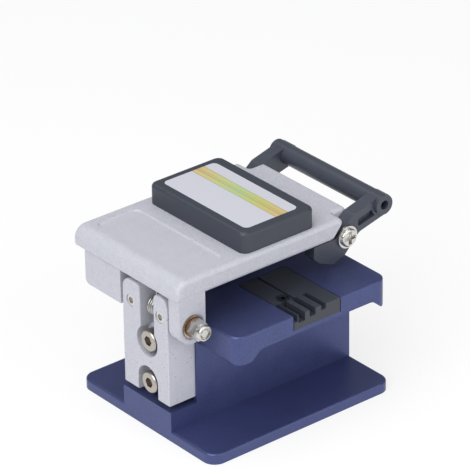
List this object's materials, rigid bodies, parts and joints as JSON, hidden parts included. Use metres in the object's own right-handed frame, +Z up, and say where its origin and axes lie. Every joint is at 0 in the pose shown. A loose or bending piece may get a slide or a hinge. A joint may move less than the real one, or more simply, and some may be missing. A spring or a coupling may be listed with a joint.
{
  "type": "fibre cleaver",
  "caption": "Bench fibre cleaver: painted base with side adapter slot, hinged lid with palm pad and bail handle, sprung clamps, anvil and a sliding blade wheel.",
  "frame": {"origin": "middle of the underside of the base plate", "axes": "+Z up, -Y towards the bail handle at the front, -X towards the fibre adapter"},
  "size_m": [0.0662, 0.0854, 0.0633],
  "materials": {
    "blue_paint": "satin dark slate-blue paint on a cast aluminium body",
    "silver_paint": "satin light silver-grey paint on a machined aluminium casting",
    "screw_steel": "bright plated steel",
    "spring_steel": "polished spring wire",
    "black_plastic": "near-black moulded plastic",
    "black_steel": "black oxide steel",
    "clamp_steel": "ground steel",
    "clamp_rubber": "hard black rubber",
    "bronze": "sintered bronze",
    "pad_plastic": "dark blue-grey moulded plastic with a fine grain",
    "label_plate": "thin printed silver plate",
    "handle_paint": "satin dark grey paint on a light alloy bail",
    "clamp_aluminium": "black-grey anodised aluminium",
    "blade_metal": "ground hard metal"
  },
  "bodies": {
    "base": {"base_casting": "blue_paint", "hinge_bracket": "silver_paint", "bracket_screws": "screw_steel", "axle_lock_screws": "screw_steel", "hinge_axle": "screw_steel", "hinge_nut": "screw_steel", "axle_washers": "bronze", "torsion_spring": "spring_steel", "fibre_adapter": "black_plastic", "adapter_screw": "black_steel", "lower_clamp_left": "clamp_steel", "lower_clamp_right": "clamp_steel", "lower_rubber_left": "clamp_rubber", "lower_rubber_right": "clamp_rubber", "slide_rail": "clamp_steel", "rail_screws": "screw_steel"},
    "lid": {"lid": "silver_paint", "hinge_bushes": "bronze", "palm_pad": "pad_plastic", "pad_plate": "label_plate", "handle_screws": "screw_steel", "clamp_pins": "screw_steel", "clamp_springs": "spring_steel", "anvil_pin": "screw_steel"},
    "handle": {"handle": "handle_paint"},
    "clamp": {"clamp_frame": "clamp_aluminium", "upper_rubber_left": "clamp_rubber", "upper_rubber_right": "clamp_rubber"},
    "anvil": {"anvil": "clamp_steel"},
    "slider": {"blade_carriage": "clamp_aluminium", "push_knob": "pad_plastic", "blade_screw": "black_steel"},
    "blade": {"blade_wheel": "blade_metal"}
  },
  "joints": [
    {"name": "lid_hinge", "type": "hinge", "parent": "base", "child": "lid", "pos_m": [0, 0.0307, 0.0405], "axis": [-1, 0, 0], "range_deg": [0, 70], "deforming": ["torsion_spring"]},
    {"name": "handle_pivot", "type": "hinge", "parent": "lid", "child": "handle", "pos_m": [0, -0.0305, 0.0494], "axis": [-1, 0, 0], "range_deg": [0, 25]},
    {"name": "clamp_travel", "type": "slide", "parent": "lid", "child": "clamp", "axis": [0, 0, 1], "range_m": [0, 0.0008], "stiffness_N_per_m": 600, "springref_m": -0.002, "deforming": ["clamp_springs"]},
    {"name": "anvil_travel", "type": "hinge", "parent": "lid", "child": "anvil", "pos_m": [0.01583, -0.02, 0.0474], "axis": [1, 0, 0], "range_deg": [0, 4]},
    {"name": "slider_travel", "type": "slide", "parent": "base", "child": "slider", "axis": [0, 1, 0], "range_m": [0, 0.028]},
    {"name": "blade_index", "type": "hinge", "parent": "slider", "child": "blade", "pos_m": [0.01583, -0.019, 0.03052], "axis": [1, 0, 0], "continuous": true}
  ]
}
